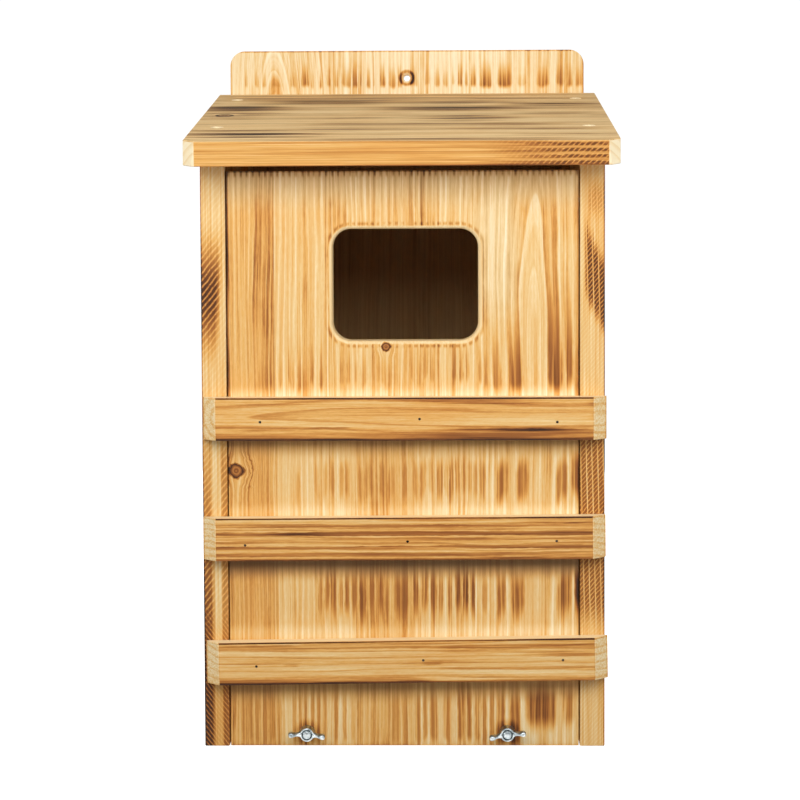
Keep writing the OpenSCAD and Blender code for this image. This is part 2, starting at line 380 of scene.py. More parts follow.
class Shader:
    """A node material being built. Lengths in it are in millimetres."""

    def __init__(self, name, metallic=0.0, specular=0.5):
        self.material = bpy.data.materials.new(name)
        self.material.use_nodes = True
        self.tree = self.material.node_tree
        self.surface = self.tree.nodes["Principled BSDF"]
        self.surface.inputs["Metallic"].default_value = metallic
        self.surface.inputs["Specular IOR Level"].default_value = specular

    def connect(self, node, inputs):
        """Links a node's inputs to values, or sets them to plain numbers and colours."""
        for key, value in inputs.items():
            if isinstance(value, Value):
                self.tree.links.new(value.socket, node.inputs[key])
            else:
                node.inputs[key].default_value = value

    def add(self, kind, inputs, output=0, **settings):
        """Adds a node and gives back one of its outputs."""
        node = self.tree.nodes.new("ShaderNode" + kind)
        for key, value in settings.items():
            setattr(node, key, value)
        self.connect(node, inputs)
        return Value(self, node.outputs[output])

    def math(self, operation, *values, clamp=False):
        return self.add("Math", dict(enumerate(values)), operation=operation, use_clamp=clamp)

    def larger(self, a, b):
        return self.math("MAXIMUM", a, b)

    def point(self, place):
        """Position in a board's own directions, from its own origin: its X, Y and Z."""
        coordinates = self.add("TexCoord", {}, "Object")
        local = self.add("Mapping", {
            "Vector": coordinates, "Location": place.translation * MM,
            "Rotation": place.to_euler(), "Scale": (MM, MM, MM)}, vector_type="TEXTURE")
        node = self.tree.nodes.new("ShaderNodeSeparateXYZ")
        self.connect(node, {0: local})
        return [Value(self, output) for output in node.outputs]

    def join(self, x, y=0, z=0):
        return self.add("CombineXYZ", {0: x, 1: y, 2: z})

    def length(self, x, y):
        return self.add("VectorMath", {0: self.join(x, y)}, "Value", operation="LENGTH")

    def noise(self, x, y=0, z=0, detail=2, rough=0.5):
        """Noise from 0 to 1 with features about one unit across."""
        return self.add("TexNoise", {
            "Vector": self.join(x, y, z), "Scale": 1, "Detail": detail, "Roughness": rough})

    def smooth(self, value, low, high):
        """Rises smoothly from 0 at low to 1 at high; falls where low is above high."""
        rising = self.add("MapRange", {
            "Value": value, "From Min": min(low, high), "From Max": max(low, high)},
            interpolation_type="SMOOTHSTEP")
        return rising if low < high else 1 - rising

    def ramp(self, value, stops, interpolation="LINEAR"):
        """Stops are (position, colour)."""
        node = self.tree.nodes.new("ShaderNodeValToRGB")
        node.color_ramp.interpolation = interpolation
        elements = node.color_ramp.elements
        while len(elements) < len(stops):
            elements.new(0.5)
        for element, (position, colour) in zip(elements, stops):
            element.position = position
            element.color = colour
        self.connect(node, {0: value})
        return Value(self, node.outputs[0])

    def mix(self, share, a, b, blend="MIX"):
        return self.add("Mix", {0: share, 6: a, 7: b}, 2, data_type="RGBA", blend_type=blend)

    def finish(self, colour, roughness, height, bump, bump_distance):
        normal = self.add("Bump", {"Strength": bump, "Distance": bump_distance * MM, "Height": height})
        self.connect(self.surface, {"Base Color": colour, "Roughness": roughness, "Normal": normal})
        return self.material


def srgb(red, green, blue):
    """A display colour from 0 to 255 as linear light."""
    shares = (red / 255, green / 255, blue / 255)
    linear = [c / 12.92 if c <= 0.04045 else ((c + 0.055) / 1.055) ** 2.4 for c in shares]
    return (*linear, 1)


# ---- scorched softwood

@dataclass
class Strip:
    """One glued strip of a board: where it begins across the board, and the trunk it was cut from."""
    start: float
    pith: float             # middle of the trunk, across the board
    depth: float            # and below the board's face
    tilt: float = 0.0       # change of that depth along the grain
    ring: float = 3.4       # width of a growth ring
    tone: float = 0.3       # how brown its unburnt wood is


@dataclass
class Streaks:
    """Flame marks side by side, between two heights along the grain."""
    low: float
    high: float
    marks: list             # (middle across the board, half width, strength) of each
    foot: float = 14.0      # over what length they fade at their low end
    head: float = 14.0      # and at their high end
    lean: float = 0.0       # sideways shift per unit along the grain
    uneven: float = 26.0    # how far their ends differ
    split: bool = False     # whether coarse grain splits them into lines


def band(low, high, marks, fade):
    """Broad flame marks that fade alike at both ends."""
    return Streaks(low, high, marks, fade, fade, split=True)


CHAR = 0.79                 # how burnt the wood is in a flame mark of strength 1
MARKS_PER_RAMP = 7          # a colour ramp holds 32 stops, and each mark takes four
WOOD_COLOURS = [
    (0.0, srgb(252, 238, 205)), (0.15, srgb(243, 220, 174)), (0.3, srgb(234, 198, 136)),
    (0.45, srgb(227, 173, 95)), (0.6, srgb(202, 139, 66)), (0.75, srgb(160, 98, 45)),
    (0.88, srgb(108, 62, 27)), (1.0, srgb(48, 28, 16)),
]
# Greyer colours, for weathered wood and for the painted shade below the door's rails
WEATHER_AND_SHADE_COLOURS = [
    (0.0, srgb(250, 236, 204)), (0.25, srgb(236, 206, 152)), (0.45, srgb(214, 178, 122)),
    (0.6, srgb(188, 150, 98)), (0.75, srgb(148, 112, 70)), (0.88, srgb(98, 70, 42)), (1.0, srgb(48, 34, 24)),
]


def blend(a, b, share):
    return a * (1 - share) + share * b


def zone(s, value, low, high, soft):
    """1 between two limits, fading over a soft border."""
    return s.smooth(value, low - soft, low + soft) * s.smooth(value, high + soft, high - soft)


def stepped(s, across, strips, key):
    """The strip's value at a point across the board."""
    value = getattr(strips[0], key)
    for before, strip in zip(strips, strips[1:]):
        change = getattr(strip, key) - getattr(before, key)
        if change:
            value = s.math("GREATER_THAN", across, strip.start) * change + value
    return value


def mark_stops(marks, low, high):
    """Ramp stops from low to high across a board, rising and falling over each mark."""
    stops = []
    for middle, half, strength in marks:
        for out, level in ((-1, 0), (-0.45, strength), (0.45, strength), (1, 0)):
            at = (middle + out * half - low) / (high - low)
            if stops:
                at = max(at, stops[-1][0] + 0.001)
            stops.append((at, (level, level, level, 1)))
    return stops


def streak_marks(s, across, along, fibre, streaks):
    """How strongly a group of flame marks has burnt. Each is widest in its middle."""
    place = along + (s.noise(across * 0.14, 3.7) - 0.5) * streaks.uneven
    rise = s.smooth(place, streaks.low - streaks.foot / 2, streaks.low + streaks.foot / 2)
    fall = s.smooth(place, streaks.high + streaks.head / 2, streaks.high - streaks.head / 2)
    present = rise * fall
    ragged = s.noise(across * 0.5, 8.1, along * 0.09, 3)
    leaning = (along - (streaks.low + streaks.high) / 2) * -streaks.lean
    shifted = across + leaning + (ragged - 0.5) * 1.8
    total = 0
    marks = sorted(streaks.marks)
    for first in range(0, len(marks), MARKS_PER_RAMP):
        group = marks[first:first + MARKS_PER_RAMP]
        low = group[0][0] - group[0][1] - 1
        high = group[-1][0] + group[-1][1] + 1
        share = s.math("DIVIDE", shifted - low, high - low, clamp=True)
        total = s.larger(total, s.ramp(share, mark_stops(group, low, high), "EASE"))
    pointed = s.larger(total + (present - 1), 0)
    burnt = pointed * 0.5 + total * present * 0.5
    if streaks.split:
        coarse = s.noise(across * 0.24, 5.5, along * 0.006, 3, 0.6)
        burnt = burnt * (0.35 + s.smooth(coarse, 0.38, 0.62) * 1.2)
    return burnt * (0.76 + fibre * 0.44)


def knot_at(s, across, along, knot):
    """Distance from a knot's middle, sideways in millimetres and straight in knot radii."""
    at_across, at_along, radius = knot
    dx = across - at_across
    dz = along - at_along
    lumps = s.noise(dx / radius, dz / radius, at_along)
    return dx, s.length(dx, dz) * (0.6 + lumps * 0.8) / radius


def edge_distance(s, xyz, origin, box):
    """Distance to the nearest edge of a board's box, for a point on its surface: the middle one of
    the distances to its three pairs of faces."""
    low, high = box
    middle = (low + high) / 2 - origin
    gaps = [(high - low)[i] / 2 - abs(xyz[i] - middle[i]) for i in (X, Y, Z)]
    lower = s.math("MINIMUM", gaps[X], gaps[Y])
    upper = s.larger(gaps[X], gaps[Y])
    return s.larger(lower, s.math("MINIMUM", upper, gaps[Z]))


def growth(s, spot, face_across, strips, seed):
    """Growth rings about the pith, uneven and slightly wavy along the grain: the late wood in each,
    which rings are soft, and finer veins."""
    across, deep, along = spot
    pith = stepped(s, face_across, strips, "pith")
    wave = s.noise(across * 0.016, deep * 0.016 + seed, along * 0.0042, 3)
    off_pith = across - pith + (wave - 0.5) * 16
    depth = stepped(s, face_across, strips, "depth") + deep + along * stepped(s, face_across, strips, "tilt")
    radius = s.length(off_pith, s.larger(depth, 1.5))
    uneven = s.noise(radius * 0.13, seed + pith)
    rings = (radius + (uneven - 0.5) * 4) / stepped(s, face_across, strips, "ring")
    within = s.math("FRACT", rings)
    late = s.smooth(within, 0.5, 0.86) * s.smooth(within, 1, 0.93)
    soft_ring = s.smooth(s.noise(rings * 0.83, seed + 11, 0, 1), 0.40, 0.66)
    veins = s.noise(rings * 2.6, seed + 17, along * 0.005, 2, 0.7)
    return late, soft_ring, veins


def knotty(s, burn, distance):
    """Darkens the wood over a knot, given the distance from it in knot radii."""
    ringed = s.math("PINGPONG", distance * 2, 0.5)
    burn = blend(burn, 0.66 + ringed * 0.4, s.smooth(distance, 1.05, 0.85))
    return burn + s.smooth(distance, 1.25, 1.05) * s.smooth(distance, 0.75, 0.95) * 0.35


def scorched_wood(name, place, axes, strips, burns=(), knots=(), *, seed, flame, flame_size=(26, 55),
                  extra=None, line=0.1, late_tone=0.11, vein=0.35, edges=None, edge_burn=0.25,
                  weathering_and_shade=None):
    """Flame-scorched softwood. Axes gives the board's directions across, deep and along the grain, and
    edges the box whose edges are burnt. Extra works on the burn of one board alone."""
    s = Shader(name, specular=0.22)
    xyz = s.point(place)
    face_across, deep, along = (xyz[a] for a in axes)
    across = face_across
    knot_distances = []
    for knot in knots:
        dx, distance = knot_at(s, face_across, along, knot)
        across = across - dx * s.smooth(distance, 3.2, 0.9) * 0.55
        knot_distances.append(distance)
    late, soft_ring, veins = growth(s, (across, deep, along), face_across, strips, seed)

    # Fibres and pores, drawn out along the grain
    fibre = s.smooth(s.noise(across * 0.85, deep * 0.85, along * 0.009, 4, 0.72), 0.3, 0.7)
    pores = s.noise(across * 1.7, deep * 1.7, along * 0.15, 2, 0.75)

    # Broad flame marks that take in the soft rings first
    wide, tall = flame_size
    heat = s.smooth(s.noise(across / wide, deep * 0.02 + (seed + 5), along / tall, 3, 0.55), 0.42, 0.72)
    heat = heat * (soft_ring * (1 - late * 0.7)) * (0.6 + fibre * 0.8)
    burn = (stepped(s, face_across, strips, "tone") + (fibre - 0.5) * 0.17 + (pores - 0.5) * 0.28
            + (veins - 0.5) * vein + late * late_tone + (soft_ring - 0.5) * line + heat * flame)

    for streaks in burns:
        burn = blend(burn, CHAR, streak_marks(s, across, along, fibre, streaks) * (1 - late * 0.35))
    if edges is not None:
        burn = burn + s.smooth(edge_distance(s, xyz, place.translation, edges), 1.6, 0.3) * edge_burn
    if extra is not None:
        burn = extra(s, xyz, burn, fibre, late)
    for distance in knot_distances:
        burn = knotty(s, burn, distance)

    colour = s.ramp(burn, WOOD_COLOURS)
    # greyer where weathered, and where painted shade lies below the door's rails
    if weathering_and_shade is not None:
        colour = s.mix(weathering_and_shade(s, xyz), colour, s.ramp(burn, WEATHER_AND_SHADE_COLOURS))
    cloud = s.noise(across * 0.05, deep * 0.05, along * 0.012)
    colour = s.mix(s.smooth(cloud, 0.3, 0.8) * 0.35, colour, srgb(250, 226, 190), "MULTIPLY")
    height = fibre * 0.6 + late * 0.35 + pores * 0.25
    return s.finish(colour, 0.52 + fibre * 0.22, height, 0.35, 0.35)


AT_FRONT = Matrix.Translation((0, front_y, 0))
VERTICAL_FACE = (X, Y, Z)   # across, deep and along the grain of a board that faces the front
VERTICAL_SIDE = (Y, X, Z)
LEVEL_BOARD = (Y, Z, X)
LEVEL_RAIL = (Z, Y, X)

# Strips of the two front boards
FRONT_STRIPS = [
    Strip(-200, -190, 60, ring=2.6, tone=0.52),
    Strip(-93, -20, 75, ring=2.7, tone=0.41),
    Strip(-55, 60, 60, ring=3.0, tone=0.39),
    Strip(-2, -70, 50, ring=3.6, tone=0.38),
    Strip(52, 93, -26.2, tilt=0.09, ring=5.0, tone=0.36),
]
DOOR_STRIPS = [
    Strip(-200, -190, 60, ring=2.6, tone=0.50),
    Strip(-91, -10, 75, ring=2.7, tone=0.36),
    Strip(-35, 60, 60, ring=3.0, tone=0.48),
    Strip(8, -70, 50, ring=3.6, tone=0.34),
    Strip(60, 92, 8, tilt=-0.03, ring=4.6, tone=0.33),
]


def bleached(s, xyz):
    """The upper panel's greyer wood: right of the entrance, and along the top."""
    x, _, z = xyz
    right = zone(s, x, 54, 82, 8) * s.smooth(z, 300, 340)
    top = s.smooth(z, 385, 415)
    return s.larger(right, top) * 0.8


def grain_comb(s, x):
    """1 on each of the ribs that the brush left standing along a front board's grain."""
    wander = s.noise(x * 0.05, 4) * 4
    return s.smooth(s.math("PINGPONG", (x + wander) / 4.4, 0.5), 0.02, 0.34)


def entrance_ring(s, x, z):
    """Distance outside the entrance's straight bore."""
    beyond = []
    for value, low, high in zip((x, z), entrance_low, entrance_high):
        from_middle = abs(value - (low + high) / 2)
        beyond.append(s.larger(from_middle - ((high - low) / 2 - entrance_r), 0))
    return s.length(*beyond) - entrance_r


def front_material():
    """The upper panel: painted shade under the roof, streaked above the top rail, bleached along it."""
    def panel_marks_and_shade(s, xyz, burn, fibre, late):
        x, _, z = xyz
        scallops = s.noise(x * 0.22, 2) * 12
        # painted shade under the roof darkens the panel's top
        top = s.smooth(z + scallops, 405, 428)
        pale = zone(s, z, 250, 261, 5)
        ribs = grain_comb(s, x)
        # painted shade in the gaps between the ribs along the top edge
        rib_gap_shade = (1 - ribs) * s.smooth(z, panel_high.z - 5.5, panel_high.z - 2)
        burn = burn + top * 0.03 + pale * -0.2 + bleached(s, xyz) * -0.1 + rib_gap_shade * 0.33
        lip = entrance_ring(s, x, z)
        spots = s.smooth(s.noise(x * 0.08, z * 0.08) * 3 + ribs, 1.8, 2.5)
        burn = burn + zone(s, lip, 2.8, 4.6, 1.4) * spots * 0.3
        return blend(burn, 0.16 + fibre * 0.12, s.smooth(lip, 2.8, 1.6))

    burns = [
        Streaks(262, 297, foot=14, head=60, lean=-0.04, marks=[
            (67.8, 4, 0.75), (81.7, 6.5, 1), (96, 2.5, 0.2),
        ]),
        Streaks(262, 318, foot=16, head=90, lean=-0.035, marks=[(109.6, 7, 1.15), (120, 4.2, 0.95)]),
        Streaks(262, 290, foot=10, head=50, marks=[
            (-103, 1.8, 0.5), (-99, 1.6, 0.55), (-96, 1.6, 0.6), (-88.5, 1.6, 0.45), (-82, 1.5, 0.6),
            (-79.3, 1.2, 0.55), (-75, 1.7, 0.75), (-65.7, 1.7, 0.6), (-59, 1.7, 0.75),
        ]),
        Streaks(264, 290, foot=10, head=34, marks=[
            (-44.5, 1.8, 0.5), (-39.3, 1.6, 0.55), (-34, 1.4, 0.35), (-28.4, 3, 0.4), (-14, 7, 0.35),
            (7, 2, 0.45), (11.6, 2, 0.5), (16.6, 2.4, 0.5), (21, 2, 0.5), (37.2, 2, 0.7),
            (42.2, 1.8, 0.75), (46.6, 1.6, 0.7), (56, 1.8, 0.6), (60, 1.6, 0.5),
        ]),
        Streaks(388, 425, foot=34, marks=[(x, 1.5, 0.3) for x in range(-60, 68, 5)]),
    ]
    return scorched_wood(
        "panel_wood", AT_FRONT, VERTICAL_FACE, FRONT_STRIPS, burns, [(-12.2, 292.6, 3)], flame=0.2, seed=1.3,
        extra=panel_marks_and_shade, late_tone=-0.11, vein=0.34, weathering_and_shade=bleached, edges=(panel_low, panel_high))


def painted_rail_shade(s, xyz):
    """Painted shade on the door below each rail."""
    z = xyz[Z]
    return s.smooth(z, 210, 230) * 0.75 + zone(s, z, 128, 142, 8) + zone(s, z, 38, 52, 8) * 0.55


def door_material():
    """The clean-out door: three bays between the rails, each passed over with the flame."""
    def bays(s, xyz, burn, fibre, late):
        x, _, z = xyz
        pale = zone(s, z, 166, 176, 4) + zone(s, z, 78, 88, 4)
        brown = zone(s, z, 56, 150, 4) * 0.03 + s.smooth(z, 5, 0.5) * 0.05
        burn = burn + pale * -0.12 + brown
        # painted shade below each rail darkens the door there
        burn = burn + painted_rail_shade(s, xyz) * (0.84 - burn) * 0.85
        for side in SIDES.values():
            # painted shade round each wing nut
            around = s.length(x - stud_x(side), z - stud_z)
            burn = burn + s.smooth(around, 12, 6) * 0.22
        return burn

    burns = [
        Streaks(181, 210, foot=16, head=18, marks=[
            (-77, 2.1, 0.35), (-63, 2.3, 0.35), (-57, 2.3, 0.4), (-52, 2.6, 0.5), (-45, 2.3, 0.5),
            (-41, 2.9, 0.55), (-31, 2.6, 0.45), (-25, 3.9, 0.5), (-15, 3.4, 0.5), (-10, 4.2, 0.45),
            (1, 2.3, 0.5), (9, 2.6, 0.5), (14, 3.1, 0.6), (20, 2.3, 0.5), (26.5, 3.1, 0.7), (31, 2.1, 0.5),
            (34.5, 2.6, 0.8), (39, 2.1, 0.6), (43.5, 1.8, 0.55), (48, 2.1, 0.45), (52, 2.3, 0.5),
            (57.5, 2.6, 0.6), (71.5, 5.5, 0.85), (86, 5.7, 0.85), (115, 5.5, 0.8), (126, 5.2, 0.95),
        ]),
        Streaks(97, 127, foot=22, head=22, marks=[
            (-61, 2, 0.6), (-56, 2.4, 0.8), (-51.5, 2.9, 0.9), (-46, 2.2, 0.7), (-41.5, 2.4, 0.8),
            (-36.5, 2.4, 0.8), (-30, 3.3, 1), (-23.5, 2.6, 0.75), (-17, 2.6, 0.8), (-12.5, 2, 0.5),
            (-1.5, 7, 0.85), (9, 2.8, 0.85), (15.5, 3.1, 0.8), (21.5, 3.4, 0.95), (27, 2.4, 0.7),
            (33.5, 2, 0.8), (39.5, 2.8, 1.1), (45, 2.8, 1.15), (50, 2.4, 1), (59, 2.6, 0.5),
            (71, 4.2, 0.85), (83, 6, 0.9), (116.5, 6.5, 0.95), (128, 6, 1.25),
        ]),
        Streaks(2, 42, foot=10, head=26, uneven=18, marks=[
            (-117, 1.8, 0.45), (-112.5, 1.8, 0.5), (-107.5, 2.2, 0.5), (-102, 2.2, 0.6),
            (-96.5, 2.4, 0.55), (-91, 1.8, 0.45), (-80.5, 1.8, 0.5), (-76.4, 1.6, 0.55),
            (-72.5, 1.7, 0.65), (-67, 1.8, 0.5), (-62.5, 1.8, 0.55), (-57.5, 1.7, 0.5), (-50, 1.9, 0.6),
            (-43.6, 1.8, 0.5), (-37.8, 1.7, 0.45), (-33, 1.6, 0.4), (-7, 4.2, 0.5), (1, 2.2, 0.4),
            (10, 3.2, 0.65), (15.5, 2.4, 0.6), (21.6, 3.6, 0.75), (31, 3.4, 0.65), (41, 2.8, 0.8),
            (47.4, 2.6, 0.85), (53.2, 2.2, 0.75), (58.3, 2.2, 0.7), (64, 2.3, 0.65), (70.6, 3.4, 0.85),
            (80.9, 4.6, 0.95),
        ]),
        Streaks(15, 43, foot=16, head=18, uneven=8, marks=[(100, 14, 1.15), (120, 5.7, 0.7)]),
    ]
    return scorched_wood(
        "door_wood", AT_FRONT, VERTICAL_FACE, DOOR_STRIPS, burns, [(-121.5, 202.5, 5.2)], flame=0.18,
        # the painted shade below the rails also greys the door there
        seed=4.1, extra=bays, late_tone=-0.11, vein=0.34, weathering_and_shade=painted_rail_shade, edges=(door_low, door_high),
        edge_burn=0.12)


def saw_lines(s, a, b, spacing, slant):
    """Marks left by a band saw, slanting across an edge and broken here and there: 1 on a ridge."""
    wander = s.noise(a * 0.12, b * 0.12)
    along = a + b * -slant + wander * 2.5
    phase = s.math("PINGPONG", along / spacing, 0.5)
    broken = s.smooth(s.noise(a * 0.5, b * 0.5), 0.25, 0.55)
    return s.smooth(phase, 0.2, 0.46) * (0.45 + broken * 0.55)


def left_wall_edge(s, x, z, out):
    """Saw ridges and scorching on the left wall's front edge; out is how far in from its outer face."""
    foot = s.smooth(z, 110, 80)
    ridge = blend(saw_lines(s, x, z, 4.2, 0.8), saw_lines(s, x, z, 3, -0.75) * 0.8, foot)
    reach = out + (z - 330) * -0.05
    patch = zone(s, z, 300, 360, 28) * s.smooth(reach, 16, 10) * 1.2
    outer_band = s.smooth(out, 9, 5) * s.smooth(z, 290, 100)
    inner_band = s.smooth(out, 12.5, 14.5) * s.smooth(z, 240, 200)
    return ridge, patch + outer_band * 0.95 + inner_band * 0.6 + s.smooth(z, 120, 20) * 0.3


def right_wall_edge(s, x, z, out):
    """The same for the right wall, where the scorching follows the saw's lanes."""
    lane_w = 4.1
    lane = s.math("FRACT", (x + z * 0.025) / lane_w)
    lane = s.smooth(lane, 0.02, 0.2) * s.smooth(lane, 1, 0.86)
    stepped_z = z - s.math("FLOOR", out / lane_w) * 8
    patch = zone(s, stepped_z, 306, 356, 9) * s.smooth(out, 15.5, 12.5)
    patch = patch + zone(s, z, 388, 410, 9) * s.smooth(out, 13, 10) * 0.4
    lower = zone(s, z, 95, 238, 14) * 0.8
    return saw_lines(s, x, z, 2.9, 0.85), (patch * 1.05 + lower + 0.08) * (0.15 + lane * 0.85)


def wall_material(side_name, side):
    """A side wall. Its front edge shows the saw, and took the flame in patches."""
    def front_edge(s, xyz, burn, fibre, late):
        x, y, z = xyz
        out = x * -side
        ridge, scorch = (left_wall_edge if side < 0 else right_wall_edge)(s, x, z, out)
        edge = 0.31 + (fibre - 0.5) * 0.3 + (0.5 - ridge) * 0.05
        edge = blend(edge, CHAR + 0.06, scorch * (1 - ridge * 0.55))
        edge = edge + s.smooth(out, 1.4, 0.2) * 0.4
        return blend(burn, edge, s.smooth(y, 1.6, 0.9))

    strips = [
        Strip(-50, 150 * side, 70, ring=3.0, tone=0.34),
        Strip(62, 20, 40, tilt=0.08, ring=4.0, tone=0.30),
        Strip(128, 260, 40, ring=3.2, tone=0.4),
        Strip(190, 90, 70, ring=2.8, tone=0.28),
    ]
    return scorched_wood(
        side_name + "_wall_wood", Matrix.Translation((half_w * side, front_y, 0)), VERTICAL_SIDE, strips,
        knots=[(95 + 20 * side, 250 + 60 * side, 8)], flame=0.6, flame_size=(26, 130), seed=7.0 + 2 * side,
        extra=front_edge)


def back_material():
    """The back board, with flame streaks across its top, a scorched rim round the hanging hole, and painted
    shade on its inner face inside the box.
    """
    def top(s, xyz, burn, fibre, late):
        x, y, z = xyz
        around = s.length(x - hole_x, z - hole_z)
        ring = zone(s, around, 4.2, 6.6, 1)
        # painted shade on the inner face, inside the box
        inside = zone(s, y, -0.5, 0.8, 0.6) * s.smooth(z, wall_high.z, wall_high.z - 30)
        return burn * (1 - inside * 0.7) + ring * 0.5 + inside * 0.5

    strips = [
        Strip(-200, -108, -75, tilt=0.17, ring=3.6, tone=0.17),
        Strip(-70, 60, 70, ring=3.0, tone=0.16),
        Strip(10, -60, 60, ring=3.4, tone=0.14),
        Strip(62, 180, 50, ring=3.6, tone=0.18),
        Strip(104, 20, 60, ring=3.0, tone=0.24),
    ]
    burns = [
        Streaks(491, 505, foot=5, head=26, uneven=7, marks=[
            (-133, 1.6, 0.5), (-124.4, 2.2, 0.5), (-118.3, 2.2, 0.45), (-107.6, 6, 0.35),
            (-93.9, 3.4, 0.5), (-84.1, 4, 0.85), (-78.2, 1.6, 0.6), (-70.9, 1.6, 0.7), (-64.6, 1.8, 0.7),
            (-58.2, 2.4, 0.6), (-49.9, 4.6, 0.7), (-43, 2.6, 0.9), (-38.1, 1.2, 0.5), (-31.8, 2.4, 0.7),
            (-27, 1.2, 0.4), (-20.1, 2.8, 0.9), (-11.8, 3.6, 0.75), (-5.9, 2.6, 0.8), (5.4, 4.4, 0.7),
            (17, 3.2, 0.5), (25, 2.6, 0.6), (31.9, 2.6, 0.5), (38.4, 1.6, 0.4), (44.1, 2.4, 0.85),
            (49.2, 1.8, 0.6), (55.2, 2.8, 0.85), (65.4, 6.4, 0.95), (80.9, 8, 1), (95.4, 5, 0.35),
            (112.5, 6.6, 0.75), (126.5, 4.2, 0.8), (134.4, 3, 0.8), (142, 3.4, 0.7),
        ]),
    ]
    return scorched_wood(
        "back_wood", Matrix.Translation((0, back_y, 0)), VERTICAL_FACE, strips, burns, flame=0.26,
        flame_size=(18, 60), seed=12.6, extra=top, late_tone=-0.08, vein=0.32, edges=(back_low, back_high),
        edge_burn=0.4, weathering_and_shade=lambda s, xyz: zone(s, xyz[Z], -1, wall_high.z - 15, 8))


def screw_pits(s, xyz):
    """1 on the fresh wood round the screws sunk in the roof."""
    x, y, _ = xyz
    from_row = abs(x) - wall_mid_x
    found = 0
    for screw_y in ROOF_SCREW_YS:
        around = s.length(from_row, y - (screw_y - roof_low.y) / math.cos(roof_slope))
        found = s.larger(s.smooth(around, 5.2, 4.4), found)
    return found


def roof_edge(s, xyz, fibre, late):
    """How burnt the roof's sawn front edge is: thin lines on the left, rows of saw teeth on the right."""
    x, _, z = xyz
    right = s.smooth(x, 45, 118)
    thin = s.smooth(s.noise(3.3, z * 0.36, x * 0.004), 0.46, 0.64)
    rows = (z + s.noise(x * 0.03, 6)) / 4.4
    worn = s.noise(x * 0.12, z * 0.5, 9)
    rows = s.smooth(s.math("PINGPONG", rows, 0.5), 0.1, 0.34) * s.smooth(worn, 0.2, 0.55)
    lines = blend(thin, rows, right)
    ridge = saw_lines(s, x, z, 4, 1)
    scorch = (lines * (0.4 + right * 0.8) + right * 0.16) * (1 - ridge * right * 0.8)
    edge = blend(0.46 + (fibre - 0.5) * 0.25 + right * 0.06, CHAR, scorch)
    edge = edge + s.smooth(z, -16.4, -17.6) * 0.18
    cut = s.smooth(abs(x), roof_high.x - roof_cut, roof_high.x - roof_cut + 0.8)
    return blend(edge, 0.04 + late * 0.12, cut)


def roof_material():
    """The roof: brown flame bands along its grain, and a sawn front edge."""
    def front_edge(s, xyz, burn, fibre, late):
        x, y, z = xyz
        cut_from = roof_high.x - roof_cut
        on_cut = s.smooth(abs(x) - y, cut_from - 1.6, cut_from - 0.8) * s.smooth(z, -0.5, -1)
        front = s.larger(s.smooth(y, 1.2, 0.7), on_cut)
        burn = blend(burn, roof_edge(s, xyz, fibre, late), front)
        return burn * (1 - screw_pits(s, xyz) * 0.85)

    def top(s, xyz):
        return s.smooth(xyz[Z], -0.7, -0.3) * (1 - screw_pits(s, xyz))

    strips = [
        Strip(-50, -60, 60, ring=5.0, tone=0.33),
        Strip(70, 160, 50, ring=6.0, tone=0.36),
        Strip(150, 60, 60, ring=5.0, tone=0.33),
        Strip(215, 320, 50, ring=5.0, tone=0.36),
    ]
    bands = [
        band(-110, -12, [(224, 20, 1.1)], 70),
        band(-4, 83, [(183, 22, 1.3), (224, 12, 0.8)], 80),
        band(-153, -104, [(186, 24, 1.4), (156, 9, 0.9), (128, 12, 0.6)], 60),
        band(19, 71, [(127, 18, 1.15), (108, 8, 0.8)], 60),
        band(-153, -78, [(38, 10, 1.3), (22, 6, 1.1), (54, 8, 0.9)], 80),
        band(-70, 120, [(9, 6, 0.8), (64, 10, 0.6), (86, 12, 0.6)], 80),
        band(86, 150, [(206, 18, 0.9), (150, 12, 0.6), (30, 9, 0.8), (60, 10, 0.6)], 60),
        band(-150, 150, [(248, 14, 0.65), (270, 8, 0.65), (2, 3, 0.6)], 60),
    ]
    place = Matrix.Translation((0, roof_low.y, roof_top(roof_low.y))) @ Matrix.Rotation(roof_slope, 4, "X")
    return scorched_wood(
        "roof_wood", place, LEVEL_BOARD, strips, bands, [(145, -138, 6.5)], flame=0.5, flame_size=(16, 90),
        seed=21.0, late_tone=0.06, vein=0.3, extra=front_edge, weathering_and_shade=top)


def rail_material(name, rail):
    """A climbing rail: honey wood with wavy growth lines and pale cut ends."""
    def ends(s, xyz, burn, fibre, late):
        x, y, z = xyz
        burn = burn + s.smooth(z, -12.8, -15.2) * 0.42 + zone(s, z, 14.4, 15.3, 0.4) * 0.6
        top = s.smooth(z, 15.15, 15.35) * s.smooth(y, -11.6, -11)
        burn = blend(burn, 0.16, top)
        cut_from = half_w - RAIL_CUT
        cut = s.smooth(abs(x) - (y + RAIL_T), cut_from - 0.9, cut_from - 0.3)
        pale = 0.12 + late * 0.12 + (fibre - 0.5) * 0.24 + burn * 0.2
        rim = s.smooth(abs(x), half_w - 1.3, half_w - 0.4) * 0.24
        corner = cut * (1 - cut) * 0.9
        return blend(burn, pale + rim, cut) + corner

    return scorched_wood(name, rail.place(), LEVEL_RAIL, rail.strips, rail.burns, flame=0.2,
                         flame_size=(9, 80), seed=rail.seed, extra=ends, line=0.08, late_tone=0.16)


def plain_board_material():
    """The floor board, hidden inside the box."""
    strips = [Strip(-200, -150, 60, ring=3.2, tone=0.3), Strip(-20, 60, 40, ring=3.6, tone=0.36)]
    return scorched_wood("floor_wood", AT_FRONT, LEVEL_BOARD, strips, flame=0.5, seed=31.0)


# ---- metal

def metal_material(name, light, dark, roughness):
    """Plated metal, clouded and finely pitted."""
    s = Shader(name, metallic=1)
    spot = s.point(Matrix())
    cloud = s.noise(*(c * 0.32 for c in spot), 3)
    pits = s.noise(*(c * 2.4 for c in spot), 3)
    colour = s.mix(s.smooth(cloud, 0.3, 0.7), srgb(*dark), srgb(*light))
    return s.finish(colour, roughness + (pits - 0.5) * 0.2, pits + cloud * 0.5, 0.15, 0.12)


# ---- boards

